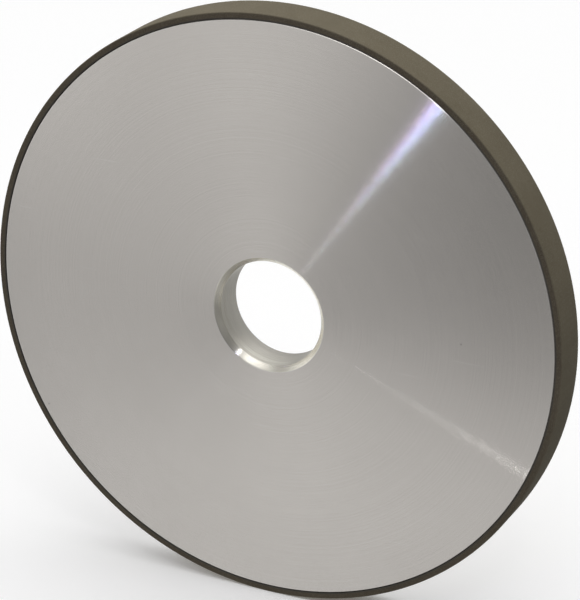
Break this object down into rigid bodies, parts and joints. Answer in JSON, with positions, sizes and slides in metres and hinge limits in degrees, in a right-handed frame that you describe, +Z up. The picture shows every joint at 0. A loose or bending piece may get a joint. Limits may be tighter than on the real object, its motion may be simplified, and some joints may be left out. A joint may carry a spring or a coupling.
{
  "type": "diamond grinding wheel",
  "caption": "Straight grinding wheel: a turned aluminium disc with a chamfered arbor hole and a thin resin-bonded diamond rim on its outer edge.",
  "frame": {"origin": "centre of the wheel, on its axis, midway between its two flat faces", "axes": "+Y along the wheel's axis, from the front face to the back face; +Z up, with the wheel standing upright; the front face looks along -Y"},
  "size_m": [0.1778, 0.0126, 0.1778],
  "materials": {
    "turned_aluminium": "fine turned, with concentric turning lines",
    "plain_bond": "matt moulded resin without abrasive",
    "diamond_bond": "matt, fine grit in resin, ground true"
  },
  "bodies": {
    "root": {"core_disc": "turned_aluminium", "bond_backing": "plain_bond", "diamond_rim": "diamond_bond"}
  },
  "joints": []
}
